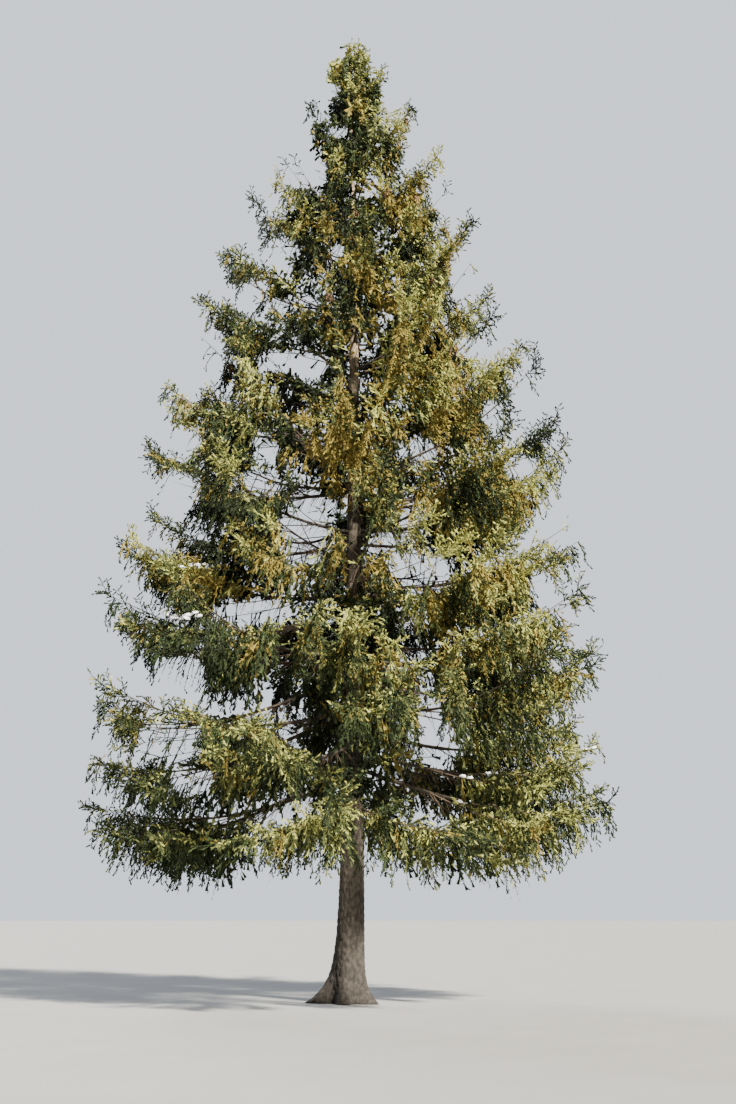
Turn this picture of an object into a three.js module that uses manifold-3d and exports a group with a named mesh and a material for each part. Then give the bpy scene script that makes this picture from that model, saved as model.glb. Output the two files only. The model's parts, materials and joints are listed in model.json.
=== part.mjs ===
// A solitary Norway spruce, 18 m tall, as separate solids: one tapering trunk with a root flare, boughs that
// sag from the trunk and turn up at their tips, and on each bough a mass of twigs with toothed sprays of
// needles. Millimetres, +Z up. The origin is the middle of the flat cut under the trunk, at ground level.
import * as THREE from "three";
import { mergeVertices } from "three/addons/utils/BufferGeometryUtils.js";
import Module from "manifold-3d";

// Height and outline of the crown
const TREE_HEIGHT = 18000;
const WIDEST_HEIGHT = 4000; // where the crown reaches furthest out
const CROWN_RADIUS = 4550;
const OUTLINE_FULLNESS = 1.5; // a straight cone would have 1
const OUTLINE_POINT = 0.78; // under 1 keeps the top from closing to a needle

// Trunk
const TRUNK_TOP = 17250; // the leader stands on it
const TRUNK_TIP_RADIUS = 14;
const TRUNK_CONE_RADIUS = 221; // foot radius of the plain cone, before the swell and the roots
const BUTT_SWELL = 70;
const BUTT_SWELL_HEIGHT = 1000;
const ROOT_FLARE_HEIGHT = 240;
const ROOT_SPREAD = 24; // degrees of the trunk that each root takes up
const ROOTS = [
  { azimuth: 174, reach: 400 },
  { azimuth: 325, reach: 330 },
  { azimuth: 262, reach: 210 },
  { azimuth: 62, reach: 300 },
  { azimuth: 118, reach: 250 },
];
const LEAN = 95; // how far the trunk stands over towards +X
const LEAN_HEIGHT = 1100; // most of the lean comes within this height
const TIP_RETURN = 125; // how far the tip bends back
const TIP_RETURN_POWER = 5;
const TRUNK_SIDES = 22;
const TRUNK_RINGS = 15;
const TRUNK_RING_POWER = 2.2; // crowds the rings towards the root flare

// Whorls of boughs, counted from the lowest
const WHORLS = 13;
const LOWEST_WHORL = 3600;
const HIGHEST_WHORL = 16150;
const FULL_WHORLS = 6; // these have four boughs, the ones above three
const LIMBED_WHORLS = 3; // low enough for the bare limb to show
const WHORL_STAGGER = 300; // height between the first and last bough of a whorl
const WHORL_TURN = 30; // degrees from one whorl to the next
const AZIMUTH_SHAKE = 9;
const REACH_SHAKE = 0.06;

// Line of a bough: its slope where it leaves the trunk, and how much it turns up towards the tip
const LOW_SLOPE = -0.34;
const HIGH_SLOPE = 0.72;
const LOW_UPTURN = 0.2;
const HIGH_UPTURN = 0.34;
const SLOPE_SHAKE = 0.03;
const BOUGH_SWAY = 8; // degrees that the tip wanders sideways
const BOUGH_LEAST_RADIUS = 11; // radius at the foot of a bough of no length
const BOUGH_STOUTNESS = 0.0085; // and what each millimetre of length adds to it
const BOUGH_TIP_SHARE = 0.2; // tip radius over foot radius
const LIMB_SHARE = 0.3; // of a limbed bough's length that is bare limb
const LIMB_SIDES = 6;
const LIMB_STEPS = 2;

// Masses of foliage: a stem, side twigs spread like a fan, and sprays of needles
const STEM_SIDES = 3;
const STEM_STEPS = 3;
const LAYER_TOP = 560; // how far a whorl's space reaches above its layer
const FAN_SHARE = 0.78; // of the way to the next bough of the whorl that the side twigs reach
const FAN_ROUNDING = 0.1; // the outermost twigs end this much nearer the trunk
const FAN_DROOP = 0.12; // and this much lower on the lowest boughs, over the bough's reach
const TWIG_END_SHAKE = 0.06;
const SPREAD_SHAKE = 0.2;
const FIRST_TWIG = 0.28; // share of the stem where the widest twig starts
const FIRST_LIMBED_TWIG = 0.4;
const LAST_TWIG = 0.74;
const TWIG_RADIUS = 15;
const SMALL_SPRAY = 640; // length of a spray on a bough of no length
const LARGE_SPRAY = 1250; // and on the longest ones
const SPRAY_HALF_WIDTH = 0.26; // over its length, as the next one is
const SPRAY_THICKNESS = 0.035;
const SPRAY_TRIES = [1, 0.82, 0.66]; // a spray that leaves its space is tried shorter, then skipped
const TIP_SPRAY_OUT = 0.85; // of its length that a tip spray reaches past its twig
const STEM_TIP_SPRAY = { share: 0.93, roll: 1.3, size: 1.1 };
const LEAST_ROLL = 0.5; // radians that a twig's tip spray is rolled out of the level
const MOST_ROLL = 1.2;
const LOW_HANG = 0.6; // how far a hanging spray leans out for each unit down, on the lowest boughs
const HIGH_HANG = 1;
const HANG_SIZE = 0.85;
const HANG_SIZE_SHAKE = 0.15;
const HANG_TWIST = 0.5;
const FIRST_HANG = 0.38; // shares of the stem between which sprays hang from it
const LAST_HANG = 0.82;
const TWO_PAIR_SIZE = 0.3; // shares of the crown's radius from which a bough has more twigs and sprays
const TWO_HANG_SIZE = 0.45;
const FOUR_HANG_SIZE = 0.86;

// Leader
const LEADER_SIDES = 5;
const LEADER_RINGS = 2;
const LEADER_RING_SPRAYS = 3;

const CLEARANCE = 0.3;
const SEED = 11;
const BARK = { color: 0x6a5c50, roughness: 0.9, metalness: 0 };
const LIMB_BARK = { color: 0x5a4a3e, roughness: 0.9, metalness: 0 };
const NEEDLES = { color: 0x55632c, roughness: 0.75, metalness: 0 };

const UP = new THREE.Vector3(0, 0, 1);
const wasm = await Module();
wasm.setup();

const { degToRad, radToDeg, lerp: mix, clamp, euclideanModulo: wrap } = THREE.MathUtils;

// A repeatable number from 0 to 1 for one item of one bough.
function draw(bough, item) {
  const wave = Math.sin(bough * 127.1 + item * 311.7 + SEED) * 43758.5453;
  return wave - Math.floor(wave);
}

// The same from -1 to 1.
const shake = (bough, item) => 2 * draw(bough, item) - 1;

// A closed three.js geometry as a solid for cutting and joining.
function solidOf(geometry) {
  geometry.deleteAttribute("normal");
  geometry.deleteAttribute("uv");
  const merged = mergeVertices(geometry, 1e-3);
  return new wasm.Manifold(
    new wasm.Mesh({
      numProp: 3,
      vertProperties: merged.attributes.position.array,
      triVerts: new Uint32Array(merged.index.array),
    }),
  );
}

// A solid as a three.js geometry.
function geometryOf(solid) {
  const mesh = solid.getMesh();
  return new THREE.BufferGeometry()
    .setAttribute("position", new THREE.BufferAttribute(mesh.vertProperties, 3))
    .setIndex(new THREE.BufferAttribute(mesh.triVerts, 1));
}

// The pieces as one body. Loose scraps are dropped, and so are hollows that the joining sealed.
function fused(pieces) {
  const bodies = wasm.Manifold.union(pieces).decompose();
  return bodies.reduce((a, b) => (a.volume() > b.volume() ? a : b));
}

// How far the needles reach from the trunk at a height.
function crownRadius(height) {
  const climb = clamp((height - WIDEST_HEIGHT) / (TREE_HEIGHT - WIDEST_HEIGHT), 0, 1);
  return CROWN_RADIUS * (1 - climb ** OUTLINE_FULLNESS) ** OUTLINE_POINT;
}

// How far a line that leaves the trunk at a height, and climbs by a slope, runs before it meets the outline.
function outlineRadius(height, slope) {
  const ROUNDS = 20;
  let radius = 0;
  for (let round = 0; round < ROUNDS; round += 1) {
    radius = mix(radius, crownRadius(height + slope * radius), 0.5);
  }
  return radius;
}

// A point at a distance and azimuth from an upright line through a centre.
function polar(centre, distance, azimuth, height) {
  const angle = degToRad(azimuth);
  return new THREE.Vector3(
    centre.x + distance * Math.cos(angle),
    centre.y + distance * Math.sin(angle),
    height,
  );
}

// The middle of the trunk at a height.
function trunkCentre(height) {
  const over = LEAN * (1 - Math.exp(-height / LEAN_HEIGHT));
  const back = TIP_RETURN * (height / TREE_HEIGHT) ** TIP_RETURN_POWER;
  return new THREE.Vector3(over - back, 0, height);
}

// The trunk's radius at a height and azimuth: a cone, a swollen butt and one ridge for each root.
function trunkRadius(height, azimuth) {
  const cone = TRUNK_CONE_RADIUS * (1 - height / TREE_HEIGHT);
  const swell = BUTT_SWELL * Math.exp(-height / BUTT_SWELL_HEIGHT);
  const flare = ROOTS.reduce((sum, root) => {
    const turn = wrap(azimuth - root.azimuth + 180, 360) - 180;
    return sum + root.reach * Math.exp(-((turn / ROOT_SPREAD) ** 2));
  }, 0);
  return Math.max(cone, TRUNK_TIP_RADIUS) + swell + flare * Math.exp(-height / ROOT_FLARE_HEIGHT);
}

// The trunk as a bent and swollen cylinder, grown outwards by a margin.
function trunkSolid(margin) {
  const geometry = new THREE.CylinderGeometry(1, 1, 1, TRUNK_SIDES, TRUNK_RINGS);
  geometry.rotateX(Math.PI / 2);
  const place = geometry.attributes.position;
  for (let i = 0; i < place.count; i += 1) {
    const climb = clamp(place.getZ(i) + 0.5, 0, 1);
    const height = TRUNK_TOP * climb ** TRUNK_RING_POWER;
    const azimuth = radToDeg(Math.atan2(place.getY(i), place.getX(i)));
    const out = Math.hypot(place.getX(i), place.getY(i));
    const radius = out * (trunkRadius(height, azimuth) + margin);
    const point = polar(trunkCentre(height), radius, azimuth, height);
    place.setXYZ(i, point.x, point.y, point.z);
  }
  return solidOf(geometry);
}

// A limb along a line from one share of its length to another, tapering from its foot to its tip.
function limb(line, from, to, footRadius, tipRadius, sides, steps) {
  const geometry = new THREE.CylinderGeometry(tipRadius, footRadius, 1, sides, steps);
  const place = geometry.attributes.position;
  const NEAR = 1e-3;
  for (let i = 0; i < place.count; i += 1) {
    const share = mix(from, to, place.getY(i) + 0.5);
    const ahead = line(share + NEAR).sub(line(share - NEAR)).normalize();
    const across = new THREE.Vector3().crossVectors(ahead, UP).normalize();
    const over = new THREE.Vector3().crossVectors(across, ahead);
    const point = line(share)
      .addScaledVector(across, place.getX(i))
      .addScaledVector(over, place.getZ(i));
    place.setXYZ(i, point.x, point.y, point.z);
  }
  return solidOf(geometry);
}

// The straight-sided version of a line that a limb with so many steps follows.
function faceted(line, from, to, steps) {
  return (share) => {
    const place = clamp(((share - from) / (to - from)) * steps, 0, steps);
    const step = Math.min(Math.floor(place), steps - 1);
    const at = (knot) => line(mix(from, to, knot / steps));
    return at(step).lerp(at(step + 1), place - step);
  };
}

// Half of a spray's outline, along its length and out over its half-width: two teeth with a notch between.
const SPRAY_TEETH = [
  [0.36, 1],
  [0.52, 0.42],
  [0.76, 0.74],
];

// A spray of needles: a flat blade with a toothed outline, thick in the middle and sharp at the edge.
function spray(root, ahead, across, length) {
  const over = new THREE.Vector3().crossVectors(ahead, across).normalize();
  const at = (along, out, up) =>
    root
      .clone()
      .addScaledVector(ahead, along * length)
      .addScaledVector(across, out * SPRAY_HALF_WIDTH * length)
      .addScaledVector(over, up * SPRAY_THICKNESS * length);
  const right = SPRAY_TEETH.map(([along, out]) => at(along, out, 0));
  const left = SPRAY_TEETH.map(([along, out]) => at(along, -out, 0)).reverse();
  const rim = [at(0, 0, 0), ...right, at(1, 0, 0), ...left];
  const points = [...rim, at(0.5, 0, 0.5), at(0.5, 0, -0.5)];
  const [ridge, keel] = [rim.length, rim.length + 1];
  const faces = rim.flatMap((_, i) => {
    const next = (i + 1) % rim.length;
    return [i, next, keel, next, i, ridge];
  });
  const geometry = new THREE.BufferGeometry().setFromPoints(points).setIndex(faces);
  return { solid: solidOf(geometry), rim };
}

// The layer that a whorl's boughs lie in: where it starts, its slope, its upturn and its radius.
function layerOf(whorl) {
  const climb = whorl / (WHORLS - 1);
  const height = mix(LOWEST_WHORL, HIGHEST_WHORL, climb);
  const slope = mix(LOW_SLOPE, HIGH_SLOPE, climb);
  const upturn = mix(LOW_UPTURN, HIGH_UPTURN, climb);
  return { climb, height, slope, upturn, radius: outlineRadius(height, slope + upturn) };
}

// The top of a whorl's space at a distance from the trunk's middle.
function spaceTop(whorl, distance) {
  const { height, slope, upturn, radius } = layerOf(whorl);
  return LAYER_TOP + height + distance * (slope + upturn * (distance / radius) ** 2);
}

// One bough: where it starts, which way it goes, and its line from the trunk's middle to the stem's tip.
function boughAt(whorl, index, count, number) {
  const { climb, height, ...layer } = layerOf(whorl);
  const stagger = (index / (count - 1) - 0.5) * WHORL_STAGGER * (whorl % 2 ? 1 : -1);
  const start = trunkCentre(height + stagger);
  const slope = layer.slope + SLOPE_SHAKE * shake(number, 1);
  const upturn = layer.upturn + SLOPE_SHAKE * shake(number, 2);
  const radius = outlineRadius(start.z, slope + upturn) * (1 + REACH_SHAKE * shake(number, 3));
  const size = radius / CROWN_RADIUS;
  const needles = mix(SMALL_SPRAY, LARGE_SPRAY, size);
  const reach = radius - TIP_SPRAY_OUT * needles;
  const sector = (360 * index) / count + WHORL_TURN * whorl;
  const azimuth = sector + AZIMUTH_SHAKE * shake(number, 4);
  const sway = BOUGH_SWAY * shake(number, 5);
  const line = (share) => {
    const rise = reach * (slope * share + upturn * share ** 3);
    return polar(start, reach * share, azimuth + sway * share ** 2, start.z + rise);
  };
  return {
    number,
    whorl,
    climb,
    start,
    size,
    needles,
    reach,
    sector,
    halfSector: 180 / count,
    line,
    footRadius: BOUGH_LEAST_RADIUS + BOUGH_STOUTNESS * reach,
    limbed: whorl < LIMBED_WHORLS,
  };
}

// Every bough, from the lowest up.
function allBoughs() {
  const boughs = [];
  for (let whorl = 0; whorl < WHORLS; whorl += 1) {
    const count = whorl < FULL_WHORLS ? 4 : 3;
    for (let index = 0; index < count; index += 1) {
      boughs.push(boughAt(whorl, index, count, boughs.length + 1));
    }
  }
  return boughs;
}

// Whether a point lies in a bough's own space: its sector of the whorl's layer, down to the layer below.
function inSpace(bough, point) {
  const [x, y] = [point.x - bough.start.x, point.y - bough.start.y];
  const distance = Math.hypot(x, y);
  const turn = wrap(radToDeg(Math.atan2(y, x)) - bough.sector + 180, 360) - 180;
  const below = point.z < spaceTop(bough.whorl, distance);
  const above = point.z > spaceTop(bough.whorl - 1, distance);
  return below && above && Math.abs(turn) < bough.halfSector;
}

// The radius of a bough at a share of its length.
const boughRadius = (bough, share) => bough.footRadius * mix(1, BOUGH_TIP_SHARE, share);

// Adds a piece to a mass, unless it would leave the bough's space or touch what is there.
function addPiece(mass, solid, points) {
  const own = points.every((point) => inSpace(mass.bough, point));
  const clear = own && mass.obstacles.every((other) => solid.intersect(other).isEmpty());
  if (clear) mass.pieces.push(solid);
  return clear;
}

// Adds a spray to a mass, at the first size that fits.
function addSpray(mass, root, ahead, across, size) {
  SPRAY_TRIES.some((share) => {
    const made = spray(root, ahead, across, share * size * mass.bough.needles);
    return addPiece(mass, made.solid, made.rim);
  });
}

// Adds a spray that goes on from the tip of a stem or twig, rolled out of the level about its length.
function addTipSpray(mass, line, share, roll, size) {
  const ahead = line(1).sub(line(0.9)).normalize();
  const across = new THREE.Vector3().crossVectors(ahead, UP).normalize().applyAxisAngle(ahead, roll);
  addSpray(mass, line(share), ahead, across, size);
}

// Adds a spray that hangs from a stem or twig, in line with it but for a twist.
function addHangingSpray(mass, line, share, item) {
  const { number, climb } = mass.bough;
  const NEAR = 0.02;
  const along = line(share + NEAR).sub(line(share - NEAR)).normalize();
  const down = along.clone().setZ(0).multiplyScalar(mix(LOW_HANG, HIGH_HANG, climb)).sub(UP).normalize();
  const across = along.addScaledVector(down, -along.dot(down)).normalize();
  across.applyAxisAngle(down, HANG_TWIST * shake(number, item));
  addSpray(mass, line(share), down, across, HANG_SIZE + HANG_SIZE_SHAKE * shake(number, item + 1));
}

// Adds a side twig with the spray at its tip, and gives the twig's line if there was room for it.
function addSideTwig(mass, stem, i, pairs) {
  const { number, climb, start, needles, reach, sector, halfSector, line, limbed } = mass.bough;
  const side = i % 2 ? 1 : -1;
  const spread = (Math.floor(i / 2) + 0.75 + SPREAD_SHAKE * shake(number, 10 + i)) / pairs;
  const foot = stem(mix(LAST_TWIG, limbed ? FIRST_LIMBED_TWIG : FIRST_TWIG, spread));
  const distance = reach * (1 - FAN_ROUNDING * spread + TWIG_END_SHAKE * shake(number, 20 + i));
  const height = line(distance / reach).z - mix(FAN_DROOP, 0, climb) * spread * reach;
  const end = polar(start, distance, sector + side * spread * FAN_SHARE * halfSector, height);
  const twig = (share) => foot.clone().lerp(end, share);
  const solid = limb(twig, 0, 1, TWIG_RADIUS, 0, 3, 1);
  if (!addPiece(mass, solid, [0.5, 1].map(twig))) return null;
  const roll = side * mix(LEAST_ROLL, MOST_ROLL, draw(number, 30 + i));
  addTipSpray(mass, twig, 1 - ((1 - TIP_SPRAY_OUT) * needles) / end.distanceTo(foot), roll, 1);
  return twig;
}

// The mass of foliage on one bough: its stem, side twigs to the left and right, and sprays on all of them.
function foliage(bough, obstacles) {
  const { size, reach, line, limbed } = bough;
  const from = limbed ? LIMB_SHARE + CLEARANCE / reach : 0;
  const stem = faceted(line, from, 1, STEM_STEPS);
  const radii = [from, 1].map((share) => boughRadius(bough, share));
  const pieces = [limb(line, from, 1, ...radii, STEM_SIDES, STEM_STEPS)];
  const mass = { bough, obstacles, pieces };
  const pairs = size > TWO_PAIR_SIZE ? 2 : 1;
  const hangingTwigs = size > FOUR_HANG_SIZE ? 4 : 2;
  for (let i = 0; i < 2 * pairs; i += 1) {
    const twig = addSideTwig(mass, stem, i, pairs);
    if (twig && i < hangingTwigs) addHangingSpray(mass, twig, 0.5, 40 + 2 * i);
  }
  addTipSpray(mass, stem, STEM_TIP_SPRAY.share, STEM_TIP_SPRAY.roll, STEM_TIP_SPRAY.size);
  const places = size > TWO_HANG_SIZE ? [FIRST_HANG, LAST_HANG] : [(FIRST_HANG + LAST_HANG) / 2];
  places.forEach((share, i) => addHangingSpray(mass, stem, share, 60 + 2 * i));
  return fused(pieces);
}

// The leader: the upright shoot on the trunk's tip, with rings of rising sprays.
function leader() {
  const foot = trunkCentre(TRUNK_TOP + CLEARANCE);
  const height = TREE_HEIGHT - foot.z;
  const shoot = new THREE.ConeGeometry(TRUNK_TIP_RADIUS, height, LEADER_SIDES, 1);
  shoot.rotateX(Math.PI / 2).translate(foot.x, foot.y, foot.z + height / 2);
  const pieces = [solidOf(shoot)];
  for (let ring = 0; ring < LEADER_RINGS; ring += 1) {
    const climb = ring / (LEADER_RINGS - 1);
    for (let i = 0; i < LEADER_RING_SPRAYS; i += 1) {
      const turn = degToRad((360 * (i + ring / 2)) / LEADER_RING_SPRAYS);
      const root = foot.clone().addScaledVector(UP, height * mix(0.1, 0.5, climb));
      const ahead = new THREE.Vector3(Math.cos(turn), Math.sin(turn), mix(0.9, 2.4, climb)).normalize();
      const level = new THREE.Vector3().crossVectors(ahead, UP).normalize();
      const across = level.applyAxisAngle(ahead, LEAST_ROLL);
      pieces.push(spray(root, ahead, across, height * mix(0.8, 0.5, climb)).solid);
    }
  }
  return fused(pieces);
}

const tree = new THREE.Group();
tree.name = "norway_spruce";

// Adds a solid to the tree as a named mesh of its own.
function show(name, solid, finish) {
  const mesh = new THREE.Mesh(geometryOf(solid), new THREE.MeshStandardMaterial(finish));
  mesh.name = name;
  tree.add(mesh);
}

const label = (bough) => String(bough.number).padStart(2, "0");
const boughs = allBoughs();
const trunkRoom = trunkSolid(CLEARANCE);
const finished = [];

show("trunk", trunkSolid(0), BARK);
for (const bough of boughs.filter((one) => one.limbed)) {
  const tipRadius = boughRadius(bough, LIMB_SHARE);
  const whole = limb(bough.line, 0, LIMB_SHARE, bough.footRadius, tipRadius, LIMB_SIDES, LIMB_STEPS);
  const solid = fused([whole.subtract(trunkRoom)]);
  show(`bough_${label(bough)}`, solid, LIMB_BARK);
  finished.push(solid);
}
for (const bough of boughs) {
  const solid = fused([foliage(bough, finished).subtract(trunkRoom)]);
  show(`foliage_${label(bough)}`, solid, NEEDLES);
  finished.push(solid);
}
show("leader_shoot", leader(), NEEDLES);

export default tree;
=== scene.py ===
"""A solitary Norway spruce as it looks: bark on the trunk and boughs, and on every bough the twigs,
needle-covered shoots, cones and snow that its plain solid stands for. Metres, +Z up."""

import json
import math

import bpy
import numpy as np
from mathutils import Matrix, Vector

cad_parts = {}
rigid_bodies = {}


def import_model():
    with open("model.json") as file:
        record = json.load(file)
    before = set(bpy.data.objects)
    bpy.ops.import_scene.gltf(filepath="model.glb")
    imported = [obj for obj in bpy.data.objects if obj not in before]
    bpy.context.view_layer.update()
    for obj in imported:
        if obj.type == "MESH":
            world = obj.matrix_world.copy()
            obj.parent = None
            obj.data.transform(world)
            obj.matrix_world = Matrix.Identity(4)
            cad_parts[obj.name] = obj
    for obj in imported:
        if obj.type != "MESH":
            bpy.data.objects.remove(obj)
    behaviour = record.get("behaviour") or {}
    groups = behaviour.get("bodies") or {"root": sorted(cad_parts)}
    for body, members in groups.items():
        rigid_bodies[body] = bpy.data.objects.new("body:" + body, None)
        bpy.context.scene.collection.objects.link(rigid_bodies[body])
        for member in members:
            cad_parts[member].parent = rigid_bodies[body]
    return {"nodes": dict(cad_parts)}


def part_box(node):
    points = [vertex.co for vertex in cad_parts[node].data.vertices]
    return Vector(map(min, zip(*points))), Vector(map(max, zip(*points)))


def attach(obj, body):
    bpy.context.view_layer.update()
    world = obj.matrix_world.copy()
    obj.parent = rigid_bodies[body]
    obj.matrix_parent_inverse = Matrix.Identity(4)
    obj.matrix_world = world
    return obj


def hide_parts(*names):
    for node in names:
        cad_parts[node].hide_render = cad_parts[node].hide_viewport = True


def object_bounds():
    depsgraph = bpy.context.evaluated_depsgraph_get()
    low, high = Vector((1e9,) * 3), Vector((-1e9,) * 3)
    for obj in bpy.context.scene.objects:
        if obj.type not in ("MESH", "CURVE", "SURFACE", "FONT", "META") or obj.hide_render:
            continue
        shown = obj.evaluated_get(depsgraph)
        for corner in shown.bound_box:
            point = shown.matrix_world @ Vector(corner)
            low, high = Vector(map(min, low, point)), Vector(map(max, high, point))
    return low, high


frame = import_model()
CAD_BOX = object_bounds()

# Height and outline of the crown
TREE_HEIGHT = CAD_BOX[1].z
WIDEST_HEIGHT = 4.0
CROWN_RADIUS = 4.55
OUTLINE_FULLNESS = 1.5
OUTLINE_POINT = 0.78
LEAST_CROWN_RADIUS = 0.3  # taken for the crown's radius where it is less
RADIUS_ROUNDS = 20  # in which a line's end on the outline is found

# Trunk
TRUNK_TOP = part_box("trunk")[1].z
TRUNK_TIP_RADIUS = 0.014
TRUNK_CONE_RADIUS = 0.221
BUTT_SWELL = 0.07
BUTT_SWELL_HEIGHT = 1.0
ROOT_FLARE_HEIGHT = 0.24
ROOT_SPREAD = 24
ROOTS = [(174, 0.4), (325, 0.33), (262, 0.21), (62, 0.3), (118, 0.25)]  # azimuth and reach
LEAN = 0.095
LEAN_HEIGHT = 1.1
TIP_RETURN = 0.125
TIP_RETURN_POWER = 5
TRUNK_COLUMNS = 108
BARE_TRUNK_HEIGHT = 3.6
BARE_TRUNK_ROWS = 150
UPPER_TRUNK_ROWS = 100
TRUNK_RELIEF = 0.022
TRUNK_PLATES = 17  # bark plates around the trunk
PLATE_HEIGHT = 0.13
PLATE_CRACK = 0.45  # how wide the cracks between the plates are, over a plate
PLATE_ROUNDING = 0.6
FINE_AROUND = 2  # plates of a finer layer to one plate, around and along
FINE_ALONG = 2.3
PLATE_DEPTH = 0.65  # share of the relief that the plates take, and the finer layer's
FINE_DEPTH = 0.35

# Whorls of boughs
WHORLS = 13
LOWEST_WHORL = 3.6
HIGHEST_WHORL = 16.15
FULL_WHORLS = 6
FULL_WHORL_BOUGHS = 4
HIGH_WHORL_BOUGHS = 3
LIMBED_HEIGHT = 6.2  # boughs that start lower are bare near the trunk
WHORL_STAGGER = 0.3
WHORL_TURN = 30
AZIMUTH_SHAKE = 9
REACH_SHAKE = 0.06
BETWEEN_REACH = 0.86  # reach of the boughs between two whorls, over that of a whorl's boughs
BETWEEN_FAN = 0.62
BETWEEN_NUMBER = 100  # added to the number of the bough below
BETWEEN_SIDEWAYS = 0.8  # boughs between whorls that point more sideways than this are left out
OUTLINE_NUMBER = 200
OUTLINE_HALF_SECTOR = 28
TIP_ROUNDS = 12  # in which a bough is moved till its tip is in place
LEFT_SAG = 0.27  # by how much those on the left climb less, under the next height
LEFT_SAG_TOP = 15
# How far to the side and how high the boughs' tips show in the outline, left ones first
OUTLINE_TIPS = [
    (-0.4, 17.3), (-0.8, 16.5), (-1.4, 14.85), (-1.86, 14.4), (-2.4, 13.5), (-1.75, 13.1), (-2.8, 12.4),
    (-3.3, 10.5), (-2.7, 10.6), (-3.6, 9.45), (-3.5, 8.1), (-4.0, 7.6), (-4.05, 6.5), (-4.35, 4.85),
    (-4.35, 3.85), (-3.9, 2.6), (0.62, 17.3), (1.2, 16.5), (1.7, 15.4), (1.35, 15.2), (1.85, 14.8),
    (1.83, 14.0), (2.3, 13.8), (2.65, 12.55), (2.63, 11.85), (3.15, 11.3), (2.9, 10.95), (3.75, 10.0),
    (3.5, 9.6), (3.8, 9.3), (4.0, 7.6), (3.9, 6.55), (4.3, 5.75), (4.3, 4.2), (3.7, 2.9),
]

# Line of a bough
SLOPE = (-0.34, 0.72)  # of the lowest boughs and of the highest
UPTURN = (0.2, 0.34)
LEAST_REACH = 0.35  # of the distance to the outline
SLOPE_SHAKE = 0.03
BOUGH_SWAY = 8
BOUGH_LEAST_RADIUS = 0.011
BOUGH_STOUTNESS = 0.0085
BOUGH_TIP_SHARE = 0.2
BOUGH_SIDES = 8
BOUGH_STEP = 0.12
BOUGH_LEAST_STEPS = 8
BOUGH_RELIEF = 0.12  # of its radius
BOUGH_FOOT = 0.02  # share of its length where its bark starts, inside the trunk
BOUGH_END_TAPER = 0.4
BOUGH_POINT_RADIUS = 0.002
BOUGH_POINT = 0.01  # length of the point on its end

# Side twigs of a bough
FAN_SHARE = 0.78
TOP_FAN = 0.55
FAN_ROUNDING = 0.1
FAN_DROOP = 0.12
TWIG_END_SHAKE = 0.06
SPREAD_SHAKE = 0.2
FIRST_TWIG = 0.2
FIRST_LIMBED_TWIG = 0.34
LAST_TWIG = 0.74
TWIG_GAP = 1.5  # reach for each pair of side twigs
STEM_TWIG_START = 0.45
SPRAY_LENGTH = (0.64, 1.25)  # on the smallest bough and on the largest
TIP_SPRAY_OUT = 0.85
TWIG_TIP_OUT = 0.55
TWIG_TIP_FALL = 0.6  # how far the innermost side twig runs on, over the outermost one
TWIG_TIP_SHAKE = 0.25
TWIG_GIRTH = 0.6  # radius of the side twigs, over the bough's at the same share of its length
TWIG_TAPER = 0.75
STEEP = 0.8  # rise over length from which a twig counts as steep
STEM_TIP_OUT = 0.85
TWIG_SAG = 0.13

# Short twigs on the trunk, and the rising ones round its tip
TRUNK_TWIGS = 150
TRUNK_TWIGS_FROM = 3.4
TRUNK_TWIG_LENGTH = (0.5, 1.05)
TRUNK_TWIG_GROWTH = (1.1, 0.45)  # of the length, for the lowest and the highest
TRUNK_TWIG_RISE = (-0.5, 0.3)
TRUNK_TWIG_BEND = -0.2
TRUNK_TWIG_GIRTH = 0.006
TRUNK_TWIG_SIZE = 0.3  # taken for the bough's size, which their branchlets go by
LEADER_TWIGS = 46
LEADER_TWIGS_FROM = 15.4
LEADER_COLUMN = 0.36  # length of the twigs below the tuft at the tip
LEADER_TUFT = (4, 2.4)  # how fast the twigs get longer towards the tip, and how late
LEADER_RISE = (0.6, 1.5)
LEADER_SHAKE = (0.6, 1.0)
LEADER_BEND = 0.12
LEADER_TWIG_GIRTH = 0.008
LEADER_GIRTH = 0.01
LEADER_SIZE = 0.2
LEADER_SUNK = 0.02  # in the trunk's tip

# Branchlets, shoots and needles
PLACE_SHAKE = (0.1, 0.9)  # where each sits in its own stretch of the parent
BRANCHLET_GAP = 0.07
BRANCHLETS_LEAST = 3  # on each twig
BRANCHLETS_FROM = 0.1  # share of the twig's length
TOP_BRANCHLETS = 0.65  # length and gap of the branchlets at the tree's top, over those at its foot
TIPWARDS = 0.62  # crowds the branchlets towards a twig's tip
BRANCHLET_ROLL = (-0.6, 1.0)  # radians below and above level at which they leave the twig
BRANCHLET_ROLL_GROWTH = (0.5, 1.2)  # of that, from a twig's foot to its tip
BRANCHLET_ANGLE = (36, 60)
BRANCHLET_LENGTH = (0.35, 0.27)  # at a twig's foot and at its tip
BRANCHLET_SHAKE = (0.6, 1.25)
BRANCHLET_SIZE = (0.8, 1.1)  # of their length, on the smallest bough and on the largest
BRANCHLET_BEND = (-0.2, 0.12)
HANGING_SHARE = (0.72, 0.5)  # of the branchlets at the tree's foot and at its top
HANGING_TIP_LOSS = 0.7
HANGING_WAY = (0.5, 0.35, 0.8)  # forwards, sideways and down
HANGING_LENGTH = (0.75, 0.42)  # at the tree's foot and at its top
HANGING_LENGTH_LOSS = 0.5  # towards a twig's tip
HANGING_SHAKE = (0.45, 1.3)
HANGING_RUN = 0.7  # share of the length along that way, and the next share straight down
HANGING_BEND = 0.5
SHOOT_GAP = 0.046
SHOOTS_FROM = 0.05
AXIS_SHOOT_GAP = 0.045
AXIS_SHOOTS_FROM = 0.3
SHOOTS_TO = 0.98
SHOOT_ROLL = 1.2
SHOOT_ANGLE = (32, 58)
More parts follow.
